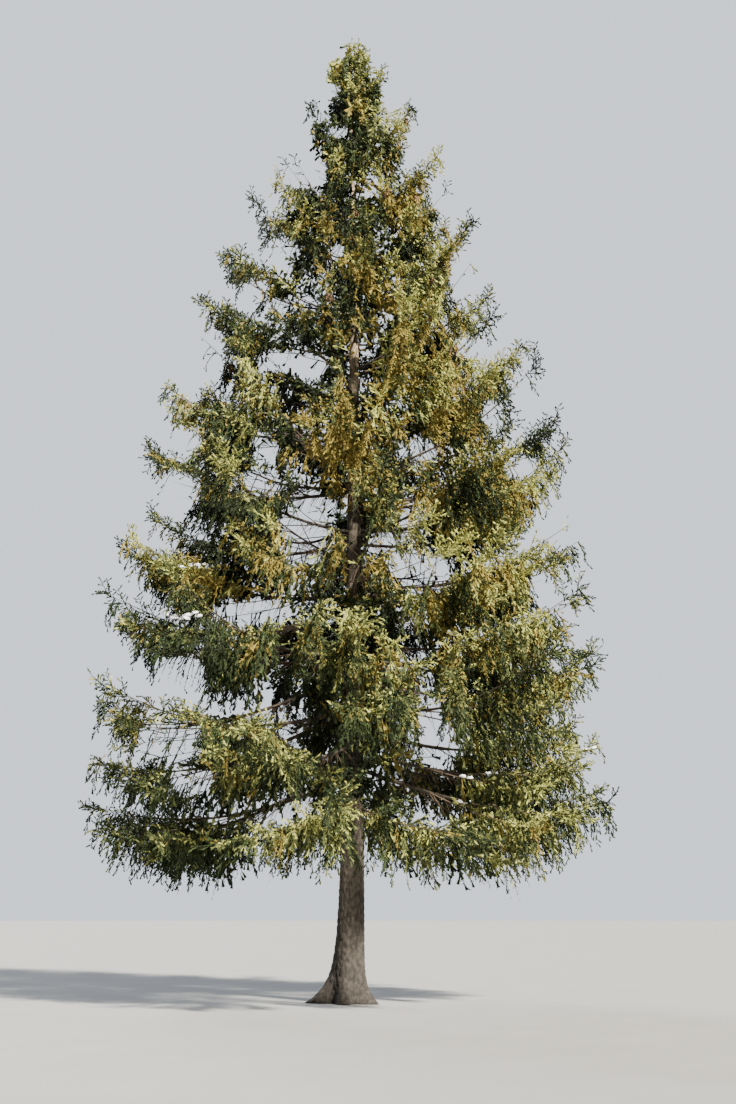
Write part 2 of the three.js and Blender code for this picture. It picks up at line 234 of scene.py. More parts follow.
HANGING_SHOOT_ANGLE = (16, 42)
SHOOT_LENGTH = (0.135, 0.1)  # at its parent's foot and tip
SHOOT_SHAKE = (0.7, 1.2)
SHOOT_SAG = 0.08
CORE_RADIUS = 0.013
CLUB_RADIUS = 0.016
NEEDLE_GAP = 0.031
NEEDLE_LENGTH = 0.05
NEEDLE_WIDTH = 0.018
NEEDLE_SHAKE = (0.75, 1.15)
NEEDLE_LEAN = (52, 30)  # degrees from the shoot, at its foot and tip
NEEDLE_LEAN_SHAKE = 10
SHADE_SPARSENESS = 1.8  # needle gap of the darkest sprays, over that of the others
INNER_SHARE = 0.55  # of the crown's radius, inside which shoots are fewer and coarser
INNER_LEFT_SHARE = 0.46
INNER_COARSENESS = 2.0
SKIRT_HEIGHT = 1.75  # about the lowest height at which needles hang
SKIRT_WAVE = 0.22
SKIRT_LOBES = (5, 3)
SKIRT_SHAKE = 0.3
NEEDLE_TWIST = 0.7
SPRAY_NEEDLES_FROM = 0.6  # share of a spray's stem that is bare
GOLDEN_ANGLE = math.radians(137.5)
NEEDLE_ROOM = 0.06  # kept free between the furthest shoots and the tree's box

# Photograph's frame, which the camera repeats
PHOTO_WIDTH = 736
PHOTO_HEIGHT = 1104
LENS = 42.07
SENSOR = 36
CAMERA = np.array([0, -21.8, 1.36])
CAMERA_PITCH = math.radians(15.7)
CAMERA_YAW = math.radians(0.9)
# Gaps that one sees through the crown, in pixels of that frame: left, top, right, bottom
GAPS = [
    (158, 654, 206, 692), (140, 722, 202, 760), (172, 768, 216, 794), (282, 498, 336, 560),
    (258, 350, 328, 374), (392, 553, 450, 590), (232, 472, 282, 496), (210, 599, 285, 622),
    (504, 456, 534, 476), (454, 338, 488, 358), (365, 530, 393, 552), (254, 432, 276, 462),
    (408, 436, 434, 460), (482, 402, 500, 426), (332, 243, 345, 258), (322, 84, 341, 99),
    (380, 82, 397, 100), (286, 160, 328, 188), (316, 102, 328, 124), (326, 126, 348, 138),
    (326, 34, 347, 60), (196, 330, 224, 378), (240, 282, 268, 302), (262, 298, 318, 311),
    (270, 240, 300, 258), (450, 252, 472, 300), (512, 372, 530, 410), (160, 472, 200, 508),
    (172, 430, 200, 450), (542, 520, 592, 546), (530, 570, 552, 600), (550, 600, 570, 620),
    (434, 190, 448, 212),
]
# The same for the windows where only the foliage before the trunk is open
TRUNK_WINDOWS = [(343, 332, 370, 396), (343, 508, 368, 558)]
GAP_RAGGEDNESS = (0.45, 1.6)
GAP_SQUARENESS = 3
GAP_TESTS = (0.35, 0.75)  # shares of a twig's length that both have to be outside the gaps
GAP_LEFT_SHARE = 0.12  # of the foliage in a gap, which stays

# Bare twiglets that hang under the inner boughs of the lower crown
BARE_CLIMB = 0.5
BARE_TWIGS = 45  # for each bough
BARE_RADIUS = 0.006
BARE_STRETCH = (0.1, 0.6)  # shares of the bough's length
BARE_LENGTH = (0.12, 0.5)
BARE_TOP_LENGTH = 0.6  # of that, at the tree's top
BARE_AHEAD = 0.45
BARE_ASIDE = 0.7
BARE_DOWN = (0.1, 0.9)
BARE_BEND = 0.35

# Cones, in clusters on the outer twigs of the upper crown
CONE_CLUSTERS = 60
CONES_IN_CLUSTER = 7
CONE_CLIMB = 0.45
CONE_TOP = 0.96
CONE_INNER_EDGE = 0.62  # of the crown's radius
CONE_SCATTER = 0.05
CONE_LENGTH = 0.14
CONE_RADIUS = 0.024
CONE_ROWS = 6
CONE_SIDES = 5
CONE_SIZE = (0.75, 1.15)
CONE_TILT = 0.3
CONE_PROFILE = (0.18, 0.9)  # the part of a half wave that its outline follows
CONE_SCALES = (0.86, 1.12)  # radius of every other row of scales, over the outline

# Snow left on boughs: left, right and height of each patch in the photograph's pixels
SNOW = [
    (183, 206, 569), (168, 200, 617), (457, 471, 777), (485, 497, 775), (584, 597, 748), (461, 468, 802),
    (428, 436, 804),
]
SNOW_LUMP = 0.045  # half the length of a lump
SNOW_LIFT = 0.025
SNOW_GAP = 1.5  # pixels of the photograph between two lumps
SNOW_NEAR = 3.5  # pixels from a patch to the shoots that carry it
SNOW_ROWS = 5
SNOW_SIDES = 8
SNOW_TURN = (0.6, 0.3)  # how far a lump may point backwards or forwards, and up or down
SNOW_SIZE = (0.6, 1.3)
SNOW_ROUGHNESS = (0.55, 1.35)
SNOW_WIDTH = 0.6  # over the length, and the same for the height below and above
SNOW_HEIGHT = (0.3, 0.6)

# Colours
BARK_TONES = [(0.0137, 0.0119, 0.0101), (0.0324, 0.028, 0.0238), (0.056, 0.049, 0.041)]
# By how much the trunk gets paler as it rises from one height to another: the lower step leaves the foot
# darker as painted shade, the upper one is partly the upper trunk's paler bark and partly painted
# sunlight on it
PALER_BARK_AND_PAINTED_LIGHT = [((2.2, 2.1, 1.9), 0.5, 2.2), ((5.4, 5.0, 4.4), 9.5, 12.5)]
LIMB_TONES = [(0.025, 0.02, 0.015), (0.065, 0.052, 0.04)]
TWIG_TONES = [(0.06, 0.042, 0.028), (0.13, 0.09, 0.06)]
CONE_TONES = [(0.06, 0.03, 0.013), (0.16, 0.082, 0.032)]
SNOW_TONES = [(0.8, 0.84, 0.9), (0.9, 0.92, 0.95)]
FLOOR_TONES = [(0.27, 0.27, 0.27), (0.29, 0.29, 0.29)]
# Needle tones from darkest to palest, dealt out by a score that is mostly painted light: needles_shade
# and needles_dark are partly painted shade, needles_bright partly painted sunlight and glints
NEEDLE_TONES = {
    "needles_shade": (0.009, 0.0135, 0.005),
    "needles_dark": (0.0165, 0.0275, 0.009),
    "needles_green": (0.0355, 0.05, 0.0165),
    "needles_olive": (0.08, 0.0905, 0.029),
    "needles_bright": (0.315, 0.33, 0.098),
    "needles_gold": (0.2, 0.159, 0.037),
}
# The gold goes only on the brighter tones, so it is partly the sprays' golden hue and partly painted
# warm sunlight
GOLD_TONE = 5  # its place among them
LAST_GREEN_TONE = 2  # only brighter tones turn golden
TONE_RANGE = (0.75, 1.25)  # darkest and palest of a tone, over the tone

# Which spray has which colour: its score is higher the brighter it is, and is mostly painted light and
# shade, lighter towards the sun, outside and at the top, darker inside the crown
TONE_LIMITS = [0.26, 0.495, 0.685, 0.885]  # share of the sprays below each tone after the first
# Direction of the sunlight painted into the tones: sprays that face it get lighter tones
SUN = np.array([0.66, -0.6, 0.45])
FACING_SHARE = 0.42
# Painted shade inside the crown: inner sprays get darker tones, outer ones lighter
OUTWARD_SHARE = 0.7
OUTER_TIP_SHARE = 0.8  # of the crown's radius, outside which the needles are darker
OUTER_TIP_DARKENING = 1.8
DRIFT_WAVES = [(1.6, 0.9, 1.9), (-1.3, 2.3, 2.9), (3.1, -2.6, 3.7)]
DRIFT_SHARE = 0.27
TWIG_SCORE = 0.43
SPRAY_SCORE = 0.2
# Painted light on the crown's top: sprays get lighter tones from TOP_LIGHT_FROM up
TOP_LIGHT = 0.08
TOP_LIGHT_FROM = 12.5
TOP_LIGHT_RISE = 4
# Low down the painted light and shade of the scores is evened out towards a middle tone, for the lower
# crown in the crown's own shade
CALM_HEIGHT = 7.5  # under it the scores draw together, fully at the next height
FULL_CALM_HEIGHT = 2.5
CALM_MOST = 0.55
CALM_SHARE = 0.5  # of the sprays below the score that they draw to
# Each shoot's score is off its spray's at random, partly as tone that differs and partly as painted
# glints on single shoots
SHOOT_TONE_AND_GLINT = 0.4  # how far at most a shoot's score is off its spray's
GOLDEN_EVENNESS = 0.45  # the same for golden shoots, over that of the others
# Painted light and shade down each hanging spray: lit at its foot, shaded towards its tip
PLUME_PAINTED_LIGHT = 0.2  # the score of a hanging spray's shoots is higher at its foot and lower at its tip
PLUME_PAINTED_SHADE = 0.5

# Which spray is golden
GOLDEN = (2.7, 0.9)  # how readily hanging sprays and level ones are golden
GOLDEN_HEIGHT = 6.5  # golden sprays get fewer under it
GOLDEN_FROM = 0.25
GOLDEN_LOW_LEAST = 0.1
GOLDEN_TOP = 18.3  # towards which golden sprays get fewer too, over the next height
GOLDEN_FADE = 4
GOLDEN_TOP_LEAST = 0.25
YOUNG_SHARE = 1.02  # of the crown's radius, towards which they get fewer as well
YOUNG_FADE = 0.6
YOUNG_LEAST = 0.08

# Materials, light and floor
RAMP = (0.3, 0.7)  # where the first tone of a material ends and the last one starts
NOISE_DETAIL = 4
BUMP_DETAIL = 8
BUMP_DISTANCE = 0.01
FILL = {"Color": (0.84, 0.88, 1, 1), "Strength": 0.16}
BACKDROP = {"Color": (0.82, 0.88, 0.96, 1), "Strength": 1.3}  # what the camera sees behind the tree
# Name, strength, colour, and angles in degrees: softness, tilt and turn
SUNS = [("key", 19, (1, 0.93, 0.8), 4, 50, 38), ("back", 3.5, (0.85, 0.92, 1), 25, 58, 205)]
FLOOR_RADIUS = 300
FLOOR_HEIGHT = -0.002
CLIP_END = 1000

# Uneven factors that turn a sine into repeatable noise
DRAW_FACTORS = (127.1, 311.7)
CELL_FACTORS = (12.9898, 78.233)
CELL_STEP = 1.7
NOISE_FACTORS = (43758.5453, 24634.6345)
SEED = 11
UP = np.array([0.0, 0.0, 1.0])
rng = np.random.default_rng(SEED)


def mix(a, b, share):
    return a + (b - a) * share


def unit(vectors):
    return vectors / np.linalg.norm(vectors, axis=-1, keepdims=True)


def shake(bough, item):
    """A repeatable number from -1 to 1 for one numbered trait of one bough."""
    wave = math.sin(bough * DRAW_FACTORS[0] + item * DRAW_FACTORS[1] + SEED) * NOISE_FACTORS[0]
    return 2 * (wave - math.floor(wave)) - 1


def column(values):
    """One number for each vector, ready to multiply them."""
    return np.asarray(values)[..., None]


def turned(first, second, angle):
    """Directions at some angles from the first ones towards the second ones."""
    return first * column(np.cos(angle)) + second * column(np.sin(angle))


def crown_radius(height):
    """How far the needles reach from the trunk at a height."""
    climb = np.clip((height - WIDEST_HEIGHT) / (TREE_HEIGHT - WIDEST_HEIGHT), 0, 1)
    return CROWN_RADIUS * (1 - climb**OUTLINE_FULLNESS) ** OUTLINE_POINT


def outwardness(points):
    """How far points are from the trunk, as a share of the crown's radius at their height."""
    radius = np.maximum(crown_radius(points[:, 2]), LEAST_CROWN_RADIUS)
    return np.hypot(points[:, 0], points[:, 1]) / radius


def outline_radius(height, slope):
    """How far from the trunk a line that leaves it at a height and slope meets the outline."""
    radius = 0.0
    for _ in range(RADIUS_ROUNDS):
        radius = mix(radius, float(crown_radius(height + slope * radius)), 0.5)
    return radius


def trunk_centre(height):
    height = np.asarray(height, float)
    over = LEAN * (1 - np.exp(-height / LEAN_HEIGHT))
    back = TIP_RETURN * (height / TREE_HEIGHT) ** TIP_RETURN_POWER
    return np.stack([over - back, np.zeros_like(height), height], axis=-1)


def trunk_radius(height, azimuth):
    """A cone, a swollen butt and one ridge for each root."""
    cone = np.maximum(TRUNK_CONE_RADIUS * (1 - height / TREE_HEIGHT), TRUNK_TIP_RADIUS)
    swell = BUTT_SWELL * np.exp(-height / BUTT_SWELL_HEIGHT)
    flare = 0
    for root_azimuth, reach in ROOTS:
        turn = (azimuth - root_azimuth + 180) % 360 - 180
        flare = flare + reach * np.exp(-((turn / ROOT_SPREAD) ** 2))
    return cone + swell + flare * np.exp(-height / ROOT_FLARE_HEIGHT)


def polar(centre, distance, azimuth, height):
    """Points at a distance and azimuth from an upright line through a centre."""
    angle = np.radians(azimuth)
    x = centre[0] + distance * np.cos(angle)
    y = centre[1] + distance * np.sin(angle)
    return np.stack([x, y, height + 0 * x], axis=-1)


class Bough:
    """One bough: where it starts, which way it goes, and its line from the trunk to the outline."""

    def __init__(self, number, climb, sector, half_sector, lift=0, reach_share=1, fan=FAN_SHARE, sag=0):
        self.number, self.climb, self.fan = number, climb, fan
        self.sector, self.half_sector = sector, half_sector
        self.start = trunk_centre(mix(LOWEST_WHORL, HIGHEST_WHORL, climb) + lift)
        self.slope = mix(*SLOPE, climb) - sag + SLOPE_SHAKE * shake(number, 1)
        self.upturn = mix(*UPTURN, climb) + SLOPE_SHAKE * shake(number, 2)
        radius = outline_radius(self.start[2], self.slope + self.upturn)
        self.radius = radius * reach_share * (1 + REACH_SHAKE * shake(number, 3))
        self.size = self.radius / CROWN_RADIUS
        self.needles = mix(*SPRAY_LENGTH, self.size)
        self.reach = max(self.radius - TIP_SPRAY_OUT * self.needles, LEAST_REACH * self.radius)
        self.azimuth = sector + AZIMUTH_SHAKE * shake(number, 4)
        self.sway = BOUGH_SWAY * shake(number, 5)
        self.foot_radius = BOUGH_LEAST_RADIUS + BOUGH_STOUTNESS * self.reach
        self.limbed = self.start[2] < LIMBED_HEIGHT

    def line(self, share):
        """Points along the bough. Past 1 it runs straight on into the tip."""
        share = np.asarray(share, float)
        past = np.maximum(share - 1, 0)
        bent = np.minimum(share, 1)
        rise = self.slope * bent + self.upturn * bent**3 + (self.slope + 3 * self.upturn) * past
        azimuth = self.azimuth + self.sway * bent**2
        return polar(self.start, self.reach * share, azimuth, self.start[2] + self.reach * rise)

    def end(self):
        """The share where the bough's tip is, past 1 by nearly the length of a spray."""
        metres_a_share = np.linalg.norm(self.line(1.1) - self.line(1.0)) * 10
        return 1 + STEM_TIP_OUT * self.needles / metres_a_share

    def width(self, share):
        return self.foot_radius * mix(1, BOUGH_TIP_SHARE, share)


def whorl_boughs():
    """The boughs of every whorl, each whorl turned from the one below."""
    boughs = []
    for whorl in range(WHORLS):
        count = FULL_WHORL_BOUGHS if whorl < FULL_WHORLS else HIGH_WHORL_BOUGHS
        for index in range(count):
            number = len(boughs) + 1
            lift = (index / (count - 1) - 0.5) * WHORL_STAGGER * (1 if whorl % 2 else -1)
            sector = 360 * index / count + WHORL_TURN * whorl
            boughs.append(Bough(number, whorl / (WHORLS - 1), sector, 180 / count, lift))
    return boughs


def between_boughs(whorled):
    """Shorter boughs between the whorls, towards the front and the back."""
    boughs = []
    for below in whorled:
        climb = below.climb + 0.5 / (WHORLS - 1)
        sector = below.sector + below.half_sector + WHORL_TURN / 2
        if climb < 1 and abs(math.cos(math.radians(sector))) < BETWEEN_SIDEWAYS:
            number = BETWEEN_NUMBER + below.number
            fan = FAN_SHARE * BETWEEN_FAN
            boughs.append(Bough(number, climb, sector, below.half_sector, 0, BETWEEN_REACH, fan))
    return boughs


def outline_boughs():
    """Boughs that end in the outline's tips, each moved till its tip is there."""
    boughs = []
    for i, (side, tip_height) in enumerate(OUTLINE_TIPS):
        sector = 0 if side > 0 else 180
        sag = LEFT_SAG if side < 0 and tip_height < LEFT_SAG_TOP else 0
        height, share = tip_height, 1
        for _ in range(TIP_ROUNDS):
            climb = min(max((height - LOWEST_WHORL) / (HIGHEST_WHORL - LOWEST_WHORL), 0), 1)
            lift = height - mix(LOWEST_WHORL, HIGHEST_WHORL, climb)
            bough = Bough(OUTLINE_NUMBER + i, climb, sector, OUTLINE_HALF_SECTOR, lift, share, 1, sag)
            tip = bough.line(bough.end())
            height += tip_height - tip[2]
            share *= (side - LEAN) / (tip[0] - LEAN)
        boughs.append(bough)
    return boughs


class Twigs:
    """Many twigs at once, each the curve foot + run share + bend share² for shares from 0 to 1."""

    def __init__(self, foot, run, bend, **traits):
        self.foot = np.asarray(foot, float)
        self.run = np.asarray(run, float)
        self.bend = np.asarray(bend, float)
        self.traits = {name: np.asarray(values) for name, values in traits.items()}

    def __len__(self):
        return len(self.foot)

    def __getattr__(self, name):
        return self.traits[name]

    def pick(self, rows):
        traits = {name: values[rows] for name, values in self.traits.items()}
        return Twigs(self.foot[rows], self.run[rows], self.bend[rows], **traits)

    def at(self, share):
        return self.foot + self.run * column(share) + self.bend * column(share) ** 2

    def heading(self, share):
        return unit(self.run + 2 * self.bend * column(share))

    def length(self):
        return np.linalg.norm(self.run + self.bend, axis=-1)


def joined(groups):
    """Several groups of twigs with the same traits as one."""
    traits = {name: np.concatenate([g.traits[name] for g in groups]) for name in groups[0].traits}
    curves = ([getattr(g, part) for g in groups] for part in ("foot", "run", "bend"))
    return Twigs(*map(np.concatenate, curves), **traits)


def children(parents, counts, first, last):
    """Each child's parent by its row, where on the parent's length it grows, and on which side."""
    rows = np.repeat(np.arange(len(parents)), counts)
    order = np.arange(len(rows)) - np.repeat(np.cumsum(counts) - counts, counts)
    share = mix(first, last, (order + rng.uniform(*PLACE_SHAKE, len(rows))) / counts[rows])
    side = np.where(order % 2, 1.0, -1.0)
    return rows, share, side


def across(heading):
    """Level directions square to some headings."""
    level = np.cross(heading, UP)
    return unit(level + 1e-6 * np.array([1.0, 0.3, 0]))


def side_twigs(bough):
    """The outer part of the bough's stem and its side twigs, spread like a fan."""
    feet, ends = [], []
    pairs = max(1, round(bough.radius / TWIG_GAP))
    first = FIRST_LIMBED_TWIG if bough.limbed else FIRST_TWIG
    half_fan = bough.fan * bough.half_sector * mix(1, TOP_FAN, bough.climb)
    for i in range(2 * pairs):
        side = 1 if i % 2 else -1
        spread = (i // 2 + 0.75 + SPREAD_SHAKE * shake(bough.number, 10 + i)) / pairs
        foot = bough.line(mix(LAST_TWIG, first, spread))
        far = 1 - FAN_ROUNDING * spread + TWIG_END_SHAKE * shake(bough.number, 50 + i)
        droop = mix(FAN_DROOP, 0, bough.climb) * spread * bough.reach
        height = bough.line(far)[2] - droop
        azimuth = bough.sector + side * spread * half_fan
        end = polar(bough.start, bough.reach * far, azimuth, height)
        ahead = (end - foot) / np.linalg.norm(end - foot)
        out = TWIG_TIP_OUT * bough.needles * mix(1, TWIG_TIP_FALL, spread)
        out *= 1 + TWIG_TIP_SHAKE * shake(bough.number, 90 + i)
        feet.append(foot)
        ends.append(end + out * ahead)
    middle, tip = bough.line(mix(STEM_TWIG_START, bough.end(), 0.5)), bough.line(bough.end())
    feet, ends = np.array(feet + [bough.line(STEM_TWIG_START)]), np.array(ends + [tip])
    bend = TWIG_SAG * column(np.linalg.norm(ends - feet, axis=-1)) * UP
    bend[-1] = 2 * (feet[-1] + tip) - 4 * middle
    girth = TWIG_GIRTH * bough.width(TWIG_GIRTH)
    traits = {"climb": bough.climb, "size": bough.size, "girth": girth}
    traits = {name: np.full(len(feet), value) for name, value in traits.items()}
    return Twigs(feet, ends - feet - bend, bend, **traits)


def twigs_around(height, length, rise, bend, climb, girth):
    """Twigs that leave the trunk at some heights, each turned from the last by the golden angle."""
    count = len(height)
    foot = trunk_centre(np.minimum(height, TRUNK_TOP))
    level = polar((0, 0), 1, np.degrees(GOLDEN_ANGLE) * np.arange(count), 0)
    run = column(length) * unit(level + column(rise) * UP)
    bend = column(bend * length) * UP
    size, girth = np.full(count, TRUNK_TWIG_SIZE), np.full(count, girth)
    return Twigs(foot, run - bend, bend, climb=climb, size=size, girth=girth)


def trunk_twigs():
    """Short drooping twigs that hide the trunk between its boughs."""
    share = (np.arange(TRUNK_TWIGS) + 0.5) / TRUNK_TWIGS
    height = mix(TRUNK_TWIGS_FROM, LEADER_TWIGS_FROM, share)
    length = rng.uniform(*TRUNK_TWIG_LENGTH, TRUNK_TWIGS) * mix(*TRUNK_TWIG_GROWTH, share)
    rise = rng.uniform(*TRUNK_TWIG_RISE, TRUNK_TWIGS)
    return twigs_around(height, length, rise, TRUNK_TWIG_BEND, share, TRUNK_TWIG_GIRTH)


def leader_twigs():
    """Rising twigs round the trunk's tip, out to the outline, and the leader."""
    share = (np.arange(LEADER_TWIGS) + 0.5) / LEADER_TWIGS
    height = mix(LEADER_TWIGS_FROM, TRUNK_TOP, share)
    rise = mix(*LEADER_RISE, share)
    to_outline = np.array([outline_radius(h, r) * math.hypot(1, r) for h, r in zip(height, rise)])
    growth, start = LEADER_TUFT
    length = mix(LEADER_COLUMN, to_outline, np.clip(growth * share - start, 0, 1))
    length = length * rng.uniform(*LEADER_SHAKE, LEADER_TWIGS)
    climb = np.ones(LEADER_TWIGS)
    around = twigs_around(height, length, rise, LEADER_BEND, climb, LEADER_TWIG_GIRTH)
    foot = [trunk_centre(TRUNK_TOP - LEADER_SUNK)]
    run = [[0, 0, TREE_HEIGHT - NEEDLE_ROOM - TRUNK_TOP + LEADER_SUNK]]
    traits = {"climb": [1.0], "size": [LEADER_SIZE], "girth": [LEADER_GIRTH]}
    return joined([around, Twigs(foot, run, [[0, 0, 0]], **traits)])


def branchlets(twigs):
    """Branchlets on the twigs: ones that spread, all round near the tip, and ones that hang."""
    gap = BRANCHLET_GAP * mix(1, TOP_BRANCHLETS, twigs.climb)
    counts = np.maximum(BRANCHLETS_LEAST, np.round(twigs.length() / gap)).astype(int)
    rows, share, side = children(twigs, counts, BRANCHLETS_FROM, 1.0)
    share = share**TIPWARDS
    parents = twigs.pick(rows)
    heading = parents.heading(share)
    count = len(rows)
    hanging_share = mix(*HANGING_SHARE, parents.climb) * (1 - HANGING_TIP_LOSS * share**5)
    hangs = rng.random(count) < hanging_share
    roll = rng.uniform(*BRANCHLET_ROLL, count) * mix(*BRANCHLET_ROLL_GROWTH, share)
    aside = across(heading) * column(side)
    over = np.cross(across(heading), heading)
    outwards = turned(aside, over, roll)
    angle = np.radians(rng.uniform(*BRANCHLET_ANGLE, count))
    length = mix(*BRANCHLET_LENGTH, share**2) * rng.uniform(*BRANCHLET_SHAKE, count)
    length = length * mix(*BRANCHLET_SIZE, parents.size) * mix(1, TOP_BRANCHLETS, parents.climb**2)
    spread = unit(turned(heading, outwards, angle))
    spread_bend = column(length * mix(*BRANCHLET_BEND, share)) * UP
    drop = mix(*HANGING_LENGTH, parents.climb) * (1 - HANGING_LENGTH_LOSS * share**2)
    drop = drop * rng.uniform(*HANGING_SHAKE, count)
    forwards, sideways, down = HANGING_WAY
    hanging = unit(forwards * heading + sideways * aside - down * UP)
    hanging_run = hanging * column(HANGING_RUN * drop)
    run = np.where(column(hangs), hanging_run, spread * column(length) - spread_bend)
    bend = np.where(column(hangs), column(-HANGING_BEND * drop) * UP, spread_bend)
    traits = {"climb": parents.climb, "size": parents.size, "hangs": hangs, "parent": rows}
    return Twigs(parents.at(share), run, bend, **traits)


def bare_twigs(boughs):
    """Leafless twiglets under the bare stretch of the lower boughs."""
    groups = []
    for bough in boughs:
        if bough.climb < BARE_CLIMB:
            share = rng.uniform(*BARE_STRETCH, BARE_TWIGS)
            length = rng.uniform(*BARE_LENGTH, BARE_TWIGS) * mix(1, BARE_TOP_LENGTH, bough.climb)
            ahead = unit(bough.line(1.0) - bough.start)
            aside = np.cross(ahead, UP) * column(rng.uniform(-BARE_ASIDE, BARE_ASIDE, BARE_TWIGS))
            down = column(rng.uniform(*BARE_DOWN, BARE_TWIGS)) * UP
            run = column(length) * unit(BARE_AHEAD * ahead + aside - down)
            groups.append((bough.line(share), run, -BARE_BEND * column(length) * UP))
    foot, run, bend = (np.concatenate(parts) for parts in zip(*groups))
    return Twigs(foot, run, bend)


def photo_place(points):
    """Where points show in the photograph's frame, in its pixels."""
    ahead = np.array([math.sin(CAMERA_YAW), math.cos(CAMERA_YAW), math.tan(CAMERA_PITCH)])
    ahead /= np.linalg.norm(ahead)
    right = np.array([math.cos(CAMERA_YAW), -math.sin(CAMERA_YAW), 0])
    away = points - CAMERA
    scale = LENS / SENSOR * PHOTO_HEIGHT / (away @ ahead)
    across_frame = PHOTO_WIDTH / 2 + (away @ right) * scale
    down_frame = PHOTO_HEIGHT / 2 - (away @ np.cross(right, ahead)) * scale
    return across_frame, down_frame


def drawn_in(twigs):
    """The twigs, with those that would leave the tree's box shortened to end inside it."""
    low, high = box_inside(NEEDLE_ROOM)
    way = twigs.run + twigs.bend
    room = np.where(way > 0, high, low) - twigs.foot
    share = np.min(room / np.where(np.abs(way) > 1e-6, way, 1e-6 * np.sign(room)), axis=1)
    share = column(np.clip(share, 0, 1))
    return Twigs(twigs.foot, twigs.run * share, twigs.bend * share, **twigs.traits)


def box_inside(margin):
    """The lowest and highest corners of the tree's box, drawn in by a margin."""
    low, high = (np.array(corner) for corner in CAD_BOX)
    return low + margin, high - margin


def in_gap(points):
    """Which points show in a gap, or before the trunk in a window, with ragged edges."""
    x, y = photo_place(points)
    ragged = rng.uniform(*GAP_RAGGEDNESS, len(points))
    inside = np.zeros(len(points), bool)
    for gaps, matters in ((GAPS, True), (TRUNK_WINDOWS, points[:, 1] < 0)):
        for left, top, right, bottom in gaps:
            across_gap = np.abs((2 * x - left - right) / (right - left))
            down_gap = np.abs((2 * y - top - bottom) / (bottom - top))
            inside |= matters & (across_gap**GAP_SQUARENESS + down_gap**GAP_SQUARENESS < ragged)
    return inside


def pruned(twigs):
    """The twigs that stay in the tree's box, above its skirt and mostly out of the gaps."""
    tip = twigs.foot + twigs.run + twigs.bend
    low, high = box_inside(NEEDLE_ROOM)
    keeps = np.all((tip > low) & (tip < high), axis=1)
    azimuth = np.arctan2(tip[:, 1], tip[:, 0])
    many, few = SKIRT_LOBES
    skirt = SKIRT_HEIGHT + SKIRT_WAVE * np.sin(many * azimuth) * np.sin(few * azimuth + 1)
    keeps &= tip[:, 2] > skirt + rng.uniform(-SKIRT_SHAKE, SKIRT_SHAKE, len(twigs))
    near, far = (in_gap(twigs.at(share)) for share in GAP_TESTS)
    return twigs.pick(keeps & (~(near | far) | (rng.random(len(twigs)) < GAP_LEFT_SHARE)))


def shoots(parents, gap, first):
    """Short shoots on some twigs, leaning forwards to all sides."""
    counts = np.maximum(1, np.round((1 - first) * parents.length() / gap)).astype(int)
    rows, share, side = children(parents, counts, first, SHOOTS_TO)
    count = len(rows)
    parents = parents.pick(rows)
    heading = parents.heading(share)
    level = across(heading) * column(side)
    roll = rng.uniform(-1, 1, count) * np.where(parents.hangs, math.pi, SHOOT_ROLL)
    level = turned(level, np.cross(level, heading), roll)
    steep, wide = (rng.uniform(*angles, count) for angles in (HANGING_SHOOT_ANGLE, SHOOT_ANGLE))
    angle = np.radians(np.where(parents.hangs, steep, wide))
    foot = parents.at(share)
    inner = outwardness(foot) < INNER_SHARE
    coarse = np.where(inner, INNER_COARSENESS, 1.0)
    size = mix(*SHOOT_LENGTH, share) * rng.uniform(*SHOOT_SHAKE, count) * np.sqrt(coarse)
    run = unit(turned(heading, level, angle)) * column(size)
    bend = column(-SHOOT_SAG * size) * UP
    spray = parents.spray + (share * parents.span).astype(int)
    made = Twigs(foot, run, bend, spray=spray, coarse=coarse, along=share * parents.hangs)
    return pruned(made.pick(~inner | (rng.random(count) < INNER_LEFT_SHARE)))


def needles_on(twigs, gap, first=0.0):
    """Corners of the needles that stand out of some twigs, three to a needle."""
    counts = (1 - first) * twigs.length() / (gap * twigs.coarse**2)
    counts = np.maximum(1, np.round(counts)).astype(int)
    rows, share, _ = children(twigs, counts, first, 1.0)
    parents = twigs.pick(rows)
    heading = parents.heading(share)
    level = across(heading)
    over = np.cross(level, heading)
    count = len(rows)
    turn = np.arange(count) * GOLDEN_ANGLE + rng.uniform(0, 1, count)
    out = turned(level, over, turn)
    tangent = np.cross(heading, out)
    lean_shake = rng.uniform(-NEEDLE_LEAN_SHAKE, NEEDLE_LEAN_SHAKE, count)
    ahead = turned(heading, out, np.radians(mix(*NEEDLE_LEAN, share) + lean_shake))
    length = NEEDLE_LENGTH * rng.uniform(*NEEDLE_SHAKE, count) * parents.coarse
    root = parents.at(share)
    twist = rng.uniform(-NEEDLE_TWIST, NEEDLE_TWIST, count)
    wide = turned(np.cross(tangent, ahead), tangent, twist)
    half = wide * column(NEEDLE_WIDTH / 2 * parents.coarse)
    return np.stack([root - half, root + half, root + ahead * column(length)], axis=1)


def tubes(twigs, sides, steps, radius):
    """Twigs as tapering tubes with so many sides and steps, each ending in a point."""
    body = twigs.run + twigs.bend
    steep = np.abs(body[:, 2]) > STEEP * np.linalg.norm(body, axis=-1)
    ahead = unit(body)
    first = unit(np.cross(ahead, np.where(column(steep), np.array([1.0, 0, 0]), UP)))
    second = np.cross(ahead, first)
    rings = []
    for step in range(steps):
        share = step / steps
        width = column(radius * (1 - TWIG_TAPER * share))
        for side in range(sides):
            turn = 2 * math.pi * side / sides
            rings.append(twigs.at(share) + width * turned(first, second, turn))
    rings.append(twigs.at(1))
    return copied(np.stack(rings, axis=1), tube_faces(steps, sides))


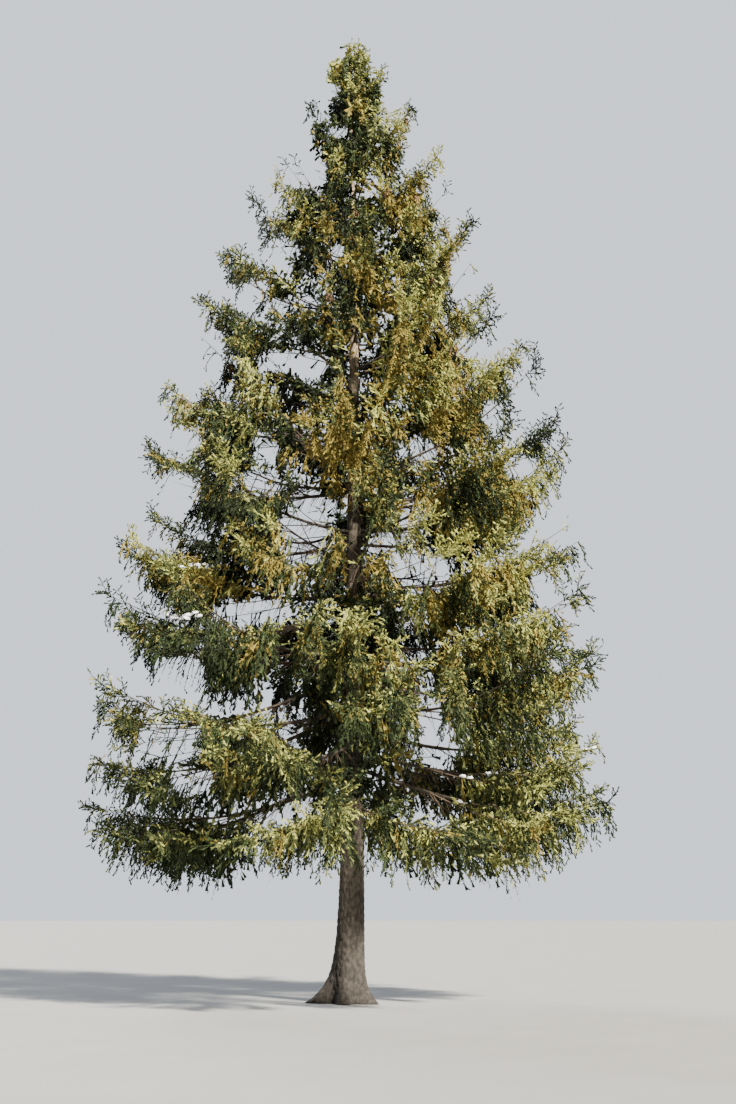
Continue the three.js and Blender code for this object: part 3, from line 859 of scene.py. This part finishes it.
def clubs(twigs):
    """What a shoot's needles stand out of: three sides that widen from the twig to a blunt end."""
    ahead = unit(twigs.run + twigs.bend)
    first = across(ahead)
    second = np.cross(ahead, first)
    tip = twigs.at(1)
    radius = column(CLUB_RADIUS * twigs.coarse)
    corners = [tip + radius * turned(first, second, 2 * math.pi * side / 3) for side in range(3)]
    faces = np.array([(0, 1, 2), (0, 2, 3), (0, 3, 1), (1, 3, 2)])
    return copied(np.stack([twigs.foot, *corners], axis=1), faces)


def tube_faces(rows, sides, foot=False):
    """Faces round rings of points and out to the point after them, or with a foot to two points."""
    row, side = np.meshgrid(np.arange(rows), np.arange(sides), indexing="ij")
    a, b = row * sides + side, row * sides + (side + 1) % sides
    walls = np.stack([a, b, b + sides, a, b + sides, a + sides], -1)[:-1].reshape(-1, 3)
    end = np.full(sides, rows * sides)
    ends = [np.stack([b[0], a[0], end], -1)] if foot else []
    return np.concatenate([walls, *ends, np.stack([a[-1], b[-1], end + foot], -1)])


def copied(points, faces):
    """Corner points of many like shapes, and their shared faces, as one list of each."""
    count, each = points.shape[:2]
    all_faces = faces[None] + (np.arange(count) * each)[:, None, None]
    return points.reshape(-1, 3), all_faces.reshape(-1, 3)


def swept(path, radii):
    """A tube round a path, with a ring of radii at each point, closed by a point at the far end."""
    ahead = unit(np.gradient(path, axis=0))
    first = across(ahead)
    second = np.cross(ahead, first)
    steps, sides = radii.shape
    turn = np.linspace(0, 2 * math.pi, sides, endpoint=False)
    rings = path[:, None] + turned(first[:, None], second[:, None], turn) * radii[..., None]
    tip = path[-1] + BOUGH_POINT * ahead[-1]
    return np.vstack([rings.reshape(-1, 3), tip]), tube_faces(steps, sides)


def merged(parts):
    """Several meshes' points and faces as one mesh."""
    points = np.concatenate([p for p, _ in parts])
    starts = np.cumsum([0] + [len(p) for p, _ in parts[:-1]])
    faces = np.concatenate([f + start for (_, f), start in zip(parts, starts)])
    return points, faces


def cone_meshes(sprays):
    """Cones that hang where outer sprays of the upper crown start, with staggered rows of scales."""
    bears = (sprays.climb > CONE_CLIMB) & (sprays.climb < CONE_TOP) & sprays.hangs
    bears &= outwardness(sprays.foot) > CONE_INNER_EDGE
    bears &= ~in_gap(sprays.foot) & ~in_gap(sprays.foot - CONE_LENGTH * UP)
    hosts = rng.choice(np.flatnonzero(bears), CONE_CLUSTERS).repeat(CONES_IN_CLUSTER)
    size = column(rng.uniform(*CONE_SIZE, len(hosts)))
    down = unit(rng.uniform(-CONE_TILT, CONE_TILT, (len(hosts), 3)) - UP)
    first = unit(np.cross(down, [1.0, 0, 0]))
    second = np.cross(down, first)
    scatter = rng.uniform(-CONE_SCATTER, CONE_SCATTER, (len(hosts), 3))
    foot = sprays.foot[hosts] + scatter * [1, 1, 0]
    rings = []
    for row in range(CONE_ROWS):
        along = (row + 0.5) / CONE_ROWS
        radius = CONE_RADIUS * math.sin(math.pi * mix(*CONE_PROFILE, along)) * CONE_SCALES[row % 2]
        for side in range(CONE_SIDES):
            turn = 2 * math.pi * (side + 0.5 * (row % 2)) / CONE_SIDES
            out = radius * turned(first, second, turn)
            rings.append(foot + size * (CONE_LENGTH * along * down + out))
    rings += [foot, foot + size * CONE_LENGTH * down]
    return copied(np.stack(rings, axis=1), tube_faces(CONE_ROWS, CONE_SIDES, foot=True))


def snow_mesh(shoots_of_tree):
    """Lumps of snow on the shoots nearest the camera, along each of the photograph's patches."""
    points = shoots_of_tree.foot
    x, y = photo_place(points)
    lumps = []
    for left, right, level in SNOW:
        for place in np.arange(left, right, SNOW_GAP):
            near = np.flatnonzero(np.hypot(x - place, y - level) < SNOW_NEAR)
            if len(near):
                best = near[np.argmin(points[near, 1])]
                ahead = unit(np.array([1, *(rng.uniform(-most, most) for most in SNOW_TURN)]))
                size = SNOW_LUMP * rng.uniform(*SNOW_SIZE)
                lumps.append(snow_lump(points[best] + SNOW_LIFT * UP, ahead, size))
    return merged(lumps)


def snow_lump(middle, ahead, size):
    """One uneven lump, longer along its twig and flatter below."""
    aside = unit(np.cross(ahead, UP))
    over = np.cross(aside, ahead)
    rings = []
    for row in range(SNOW_ROWS):
        lean = math.pi * (row + 0.5) / SNOW_ROWS
        for side in range(SNOW_SIDES):
            turn = 2 * math.pi * side / SNOW_SIDES
            height = math.sin(lean) * math.sin(turn)
            place = math.cos(lean) * ahead + SNOW_WIDTH * math.sin(lean) * math.cos(turn) * aside
            place = place + SNOW_HEIGHT[height > 0] * height * over
            rings.append(middle + size * rng.uniform(*SNOW_ROUGHNESS) * place)
    rings += [middle + size * ahead, middle - size * ahead]
    return np.array(rings), tube_faces(SNOW_ROWS, SNOW_SIDES, foot=True)


def added(name, data):
    """A new object of the scene."""
    made = bpy.data.objects.new(name, data)
    bpy.context.scene.collection.objects.link(made)
    return made


def piece(name, points, faces, material, slot=None, nodes=(), smooth=False):
    """A mesh object that rides on the tree and stands for some of its nodes."""
    mesh = bpy.data.meshes.new(name)
    mesh.vertices.add(len(points))
    mesh.vertices.foreach_set("co", np.asarray(points, np.float32).ravel())
    mesh.loops.add(faces.size)
    mesh.loops.foreach_set("vertex_index", faces.astype(np.int32).ravel())
    mesh.polygons.add(len(faces))
    mesh.polygons.foreach_set("loop_start", np.arange(0, faces.size, 3, dtype=np.int32))
    mesh.polygons.foreach_set("use_smooth", np.full(len(faces), smooth))
    mesh.update(calc_edges=True)
    mesh.materials.append(material)
    made = added(name, mesh)
    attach(made, "root")
    if nodes:
        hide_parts(*nodes)
    print(f"{name}: {len(faces)} triangles")


def filled(tree, node, **inputs):
    """The node, with some inputs set to a number or colour, or linked to another node's output."""
    for name, value in inputs.items():
        socket = node.inputs[name.replace("_", " ")]
        if isinstance(value, bpy.types.NodeSocket):
            tree.links.new(value, socket)
        else:
            socket.default_value = value
    return node


def new_node(tree, kind, **inputs):
    return filled(tree, tree.nodes.new("ShaderNode" + kind), **inputs)


def noise_material(
    name, tones, scale, roughness, bump=0.0, bump_scale=1.0, shine=0.5, stretch=1.0, paler=()
):
    """A rough material whose colour wanders between some tones, and may turn paler higher up."""
    material = bpy.data.materials.new(name)
    material.use_nodes = True
    tree = material.node_tree
    shader = tree.nodes["Principled BSDF"]
    place = new_node(tree, "TexCoord").outputs["Object"]
    upright = new_node(tree, "Mapping", Vector=place, Scale=(1, 1, 1 / stretch)).outputs["Vector"]
    noise = new_node(tree, "TexNoise", Vector=upright, Scale=scale, Detail=NOISE_DETAIL)
    ramp = new_node(tree, "ValToRGB", Fac=noise.outputs["Fac"])
    elements = ramp.color_ramp.elements
    for i, end in enumerate(RAMP):
        elements[i].position = end
        elements[i].color = (*tones[-i], 1)
    for i, tone in enumerate(tones[1:-1], 1):
        elements.new(mix(*RAMP, i / (len(tones) - 1))).color = (*tone, 1)
    colour = ramp.outputs["Color"]
    for tone, low, high in paler:
        height = new_node(tree, "SeparateXYZ", Vector=place).outputs["Z"]
        rise = new_node(tree, "MapRange", Value=height, From_Min=low, From_Max=high)
        blend = new_node(tree, "Mix")
        blend.data_type = "RGBA"
        blend.blend_type = "MULTIPLY"
        filled(tree, blend, Factor=rise.outputs["Result"], A=colour, B=(*tone, 1))
        colour = blend.outputs["Result"]
    filled(tree, shader, Base_Color=colour, Roughness=roughness, Specular_IOR_Level=shine)
    if bump:
        fine = new_node(tree, "TexNoise", Vector=upright, Scale=bump_scale, Detail=BUMP_DETAIL)
        height = fine.outputs["Fac"]
        relief = new_node(tree, "Bump", Height=height, Strength=bump, Distance=BUMP_DISTANCE)
        filled(tree, shader, Normal=relief.outputs["Normal"])
    return material


def plates(around, along, columns):
    """Height from 0 to 1 of bark plates with cracks between them, in columns that close round."""
    u, v = np.floor(around), np.floor(along)
    nearest = second = np.full(around.shape, 9.0)
    for du in (-1, 0, 1):
        for dv in (-1, 0, 1):
            cell_u, cell_v = u + du, v + dv
            name = (cell_u % columns) * CELL_FACTORS[0] + cell_v * CELL_FACTORS[1]
            jitter_u = np.modf(np.abs(np.sin(name) * NOISE_FACTORS[0]))[0]
            jitter_v = np.modf(np.abs(np.sin(name + CELL_STEP) * NOISE_FACTORS[1]))[0]
            gap = np.hypot(cell_u + jitter_u - around, cell_v + jitter_v - along)
            second = np.minimum(second, np.maximum(nearest, gap))
            nearest = np.minimum(nearest, gap)
    return np.clip((second - nearest) / PLATE_CRACK, 0, 1) ** PLATE_ROUNDING


def trunk_mesh():
    """The trunk with its taper, lean, roots and scaly bark, from the flat cut to its tip."""
    bare = np.linspace(0, BARE_TRUNK_HEIGHT, BARE_TRUNK_ROWS, endpoint=False)
    levels = np.concatenate([bare, np.linspace(BARE_TRUNK_HEIGHT, TRUNK_TOP, UPPER_TRUNK_ROWS)])
    azimuths = np.arange(TRUNK_COLUMNS) * 360 / TRUNK_COLUMNS
    height, azimuth = np.meshgrid(levels, azimuths, indexing="ij")
    radius = trunk_radius(height, azimuth)
    around, along = azimuth / 360 * TRUNK_PLATES, height / PLATE_HEIGHT
    bark = plates(around, along, TRUNK_PLATES)
    fine = plates(around * FINE_AROUND, along * FINE_ALONG, TRUNK_PLATES * FINE_AROUND)
    depth = TRUNK_RELIEF * np.clip(radius / TRUNK_CONE_RADIUS, 0, 1)
    radius = radius - depth * (1 - PLATE_DEPTH * bark - FINE_DEPTH * fine)
    angle = np.radians(azimuth)
    out = np.stack([np.cos(angle), np.sin(angle), 0 * angle], axis=-1)
    rings = trunk_centre(height) + radius[..., None] * out
    points = np.vstack([rings.reshape(-1, 3), trunk_centre(0.0), trunk_centre(TRUNK_TOP)])
    return points, tube_faces(len(levels), TRUNK_COLUMNS, foot=True)


def bough_mesh(bough):
    """A bough's bark, from inside the trunk to its tip."""
    end = bough.end()
    steps = max(BOUGH_LEAST_STEPS, int(end * bough.reach / BOUGH_STEP))
    share = np.linspace(BOUGH_FOOT, end, steps)
    path = np.clip(bough.line(share), *box_inside(NEEDLE_ROOM))
    taper = np.where(share > 1, mix(1, BOUGH_END_TAPER, (share - 1) / (end - 1)), 1)
    width = np.maximum(bough.width(np.minimum(share, 1)) * taper, BOUGH_POINT_RADIUS)
    relief = 1 + BOUGH_RELIEF * rng.uniform(-1, 1, (steps, BOUGH_SIDES))
    return swept(path, width[:, None] * relief)


def painted_light_score(sprays, twigs):
    """How bright each spray is, as painted light and shade: lighter towards the sun, the outside and the
    top, darker at the outer tips, evened out low down, in drifts and with random tone.
    """
    middle = sprays.at(0.5)
    # Sprays that face the sun get painted sunlight
    facing = unit(middle * [1, 1, 0]) @ unit(SUN)
    drift = sum(np.sin(middle @ wave + turn) for turn, wave in enumerate(DRIFT_WAVES))
    own = rng.uniform(-TWIG_SCORE, TWIG_SCORE, len(twigs))[sprays.parent]
    own = own + rng.uniform(-SPRAY_SCORE, SPRAY_SCORE, len(sprays))
    # Painted shade inside the crown: inner sprays get darker tones; past OUTER_TIP_SHARE the outer tips
    # get darker
    outward = outwardness(middle)
    bright = OUTWARD_SHARE * np.minimum(outward, OUTER_TIP_SHARE)
    bright = bright - OUTER_TIP_DARKENING * np.maximum(outward - OUTER_TIP_SHARE, 0)
    # Painted light at the crown's top
    bright = bright + TOP_LIGHT * np.clip((middle[:, 2] - TOP_LIGHT_FROM) / TOP_LIGHT_RISE, 0, 1)
    score = bright + FACING_SHARE * facing + DRIFT_SHARE * drift + own
    # Low down the painted light and shade are evened out towards a middle tone
    calm = np.clip((CALM_HEIGHT - middle[:, 2]) / (CALM_HEIGHT - FULL_CALM_HEIGHT), 0, CALM_MOST)
    return mix(score, np.quantile(score, CALM_SHARE), calm)


def goldenness(sprays):
    """How readily each spray is golden: hanging ones more, less so low down, high up and outside."""
    height = sprays.foot[:, 2]
    outward = outwardness(sprays.at(0.5))
    ripe = np.clip(height / GOLDEN_HEIGHT - GOLDEN_FROM, GOLDEN_LOW_LEAST, 1)
    ripe = ripe * np.where(sprays.hangs, *GOLDEN)
    ripe *= np.clip((GOLDEN_TOP - height) / GOLDEN_FADE, GOLDEN_TOP_LEAST, 1)
    return ripe * np.clip((YOUNG_SHARE - outward) / YOUNG_FADE, YOUNG_LEAST, 1)


def toned(scores, golden, limits):
    """Rows of NEEDLE_TONES for some scores. The brighter ones of a golden spray are gold."""
    level = np.searchsorted(limits, scores)
    return np.where(golden & (level > LAST_GREEN_TONE), GOLD_TONE, level)


def stage():
    """A plain pale floor, soft light and the camera at the photograph's viewing angle."""
    bpy.ops.mesh.primitive_circle_add(vertices=96, radius=FLOOR_RADIUS, fill_type="NGON")
    floor = bpy.context.object
    floor.name = "floor"
    floor.location.z = FLOOR_HEIGHT
    floor.data.materials.append(noise_material("floor", FLOOR_TONES, scale=1, roughness=0.9))
    world = bpy.data.worlds.new("studio")
    bpy.context.scene.world = world
    world.use_nodes = True
    tree = world.node_tree
    fill = filled(tree, tree.nodes["Background"], **FILL).outputs["Background"]
    backdrop = new_node(tree, "Background", **BACKDROP).outputs["Background"]
    seen = new_node(tree, "LightPath").outputs["Is Camera Ray"]
    both = new_node(tree, "MixShader", Fac=seen)
    tree.links.new(fill, both.inputs[1])
    tree.links.new(backdrop, both.inputs[2])
    filled(tree, tree.nodes["World Output"], Surface=both.outputs["Shader"])
    for name, strength, colour, softness, tilt, turn in SUNS:
        sun = added(name, bpy.data.lights.new(name, "SUN"))
        sun.data.energy = strength
        sun.data.color = colour
        sun.data.angle = math.radians(softness)
        sun.rotation_euler = (math.radians(tilt), 0, math.radians(turn))
    camera = added("camera", bpy.data.cameras.new("camera"))
    camera.data.lens = LENS
    camera.data.clip_end = CLIP_END
    camera.location = CAMERA
    camera.rotation_euler = (math.radians(90) + CAMERA_PITCH, 0, -CAMERA_YAW)
    bpy.context.scene.camera = camera


FOLIAGE = sorted(name for name in frame["nodes"] if name.startswith(("foliage_", "leader_shoot")))
LIMBS = sorted(name for name in frame["nodes"] if name.startswith("bough_"))

boughs = whorl_boughs()
boughs += between_boughs(boughs) + outline_boughs()
twigs = [side_twigs(bough) for bough in boughs] + [trunk_twigs(), leader_twigs()]
twigs = drawn_in(joined(twigs))
sprays = pruned(branchlets(twigs))
sprays.traits["spray"] = np.arange(len(sprays))
sprays.traits["span"] = np.zeros(len(sprays), int)
sprays.traits["coarse"] = np.ones(len(sprays))
first_spray = np.searchsorted(sprays.parent, np.arange(len(twigs)))
twigs.traits["spray"] = np.minimum(first_spray, len(sprays) - 1)
twigs.traits["span"] = np.bincount(sprays.parent, minlength=len(twigs))
twigs.traits["hangs"] = np.zeros(len(twigs), bool)
spray_tips = shoots(sprays, SHOOT_GAP, SHOOTS_FROM)
tips = joined([spray_tips, shoots(twigs, AXIS_SHOOT_GAP, AXIS_SHOOTS_FROM)])

bark = {"scale": 21, "roughness": 0.95, "bump": 0.8, "bump_scale": 60, "stretch": 1.8}
bark = noise_material("trunk_bark", BARK_TONES, **bark, paler=PALER_BARK_AND_PAINTED_LIGHT)
limb_bark = {"scale": 14, "roughness": 0.95, "bump": 0.5, "bump_scale": 80}
limb_bark = noise_material("bough_bark", LIMB_TONES, **limb_bark)
twig_bark = noise_material("twig_bark", TWIG_TONES, scale=6, roughness=0.9)
piece("trunk_with_bark", *trunk_mesh(), bark, "trunk_bark", ["trunk"], smooth=True)
limbs = merged([bough_mesh(bough) for bough in boughs])
piece("boughs", *limbs, limb_bark, "bough_bark", LIMBS, smooth=True)
bare = tubes(bare_twigs(boughs), sides=3, steps=2, radius=BARE_RADIUS)
wood = merged([tubes(twigs, sides=4, steps=4, radius=twigs.girth), bare])
piece("twigs", *wood, twig_bark, "bough_bark", FOLIAGE)
cone_brown = noise_material("cones", CONE_TONES, scale=30, roughness=0.8)
piece("cones", *cone_meshes(sprays), cone_brown)
snow_white = noise_material("snow", SNOW_TONES, scale=20, roughness=0.6)
piece("snow", *snow_mesh(tips), snow_white, smooth=True)

score = painted_light_score(sprays, twigs)
limits = np.quantile(score, TONE_LIMITS)
ripe = goldenness(sprays)
golden = rng.random(len(sprays)) < ripe * rng.uniform(0, 1, len(twigs))[sprays.parent]
tip_golden = golden[tips.spray]
# Random tone on each shoot that also paints glints, and painted light at the foot of each hanging spray
# with painted shade towards its tip
shade = SHOOT_TONE_AND_GLINT * np.where(tip_golden, GOLDEN_EVENNESS, 1) * rng.uniform(-1, 1, len(tips))
tip_score = score[tips.spray] + PLUME_PAINTED_LIGHT - PLUME_PAINTED_SHADE * tips.along + shade
spray_tone, tip_tone = toned(score, golden, limits), toned(tip_score, tip_golden, limits)
for i, (name, colour) in enumerate(NEEDLE_TONES.items()):
    own_sprays, own_tips = sprays.pick(spray_tone == i), tips.pick(tip_tone == i)
    range_of_tone = [tuple(share * c for c in colour) for share in TONE_RANGE]
    look = noise_material(name, range_of_tone, scale=2.5, roughness=0.8, shine=0.2)
    gap = NEEDLE_GAP * (SHADE_SPARSENESS if name == "needles_shade" else 1)
    needles = [needles_on(own_sprays, gap, SPRAY_NEEDLES_FROM), needles_on(own_tips, gap)]
    needles = copied(np.concatenate(needles), np.array([(0, 1, 2)]))
    hanging, level = (own_sprays.pick(own_sprays.hangs == hangs) for hangs in (True, False))
    stems = [tubes(own, 3, steps, CORE_RADIUS) for own, steps in ((hanging, 2), (level, 1))]
    piece(name, *merged([needles, clubs(own_tips), *stems]), look, "needles", FOLIAGE)


stage()
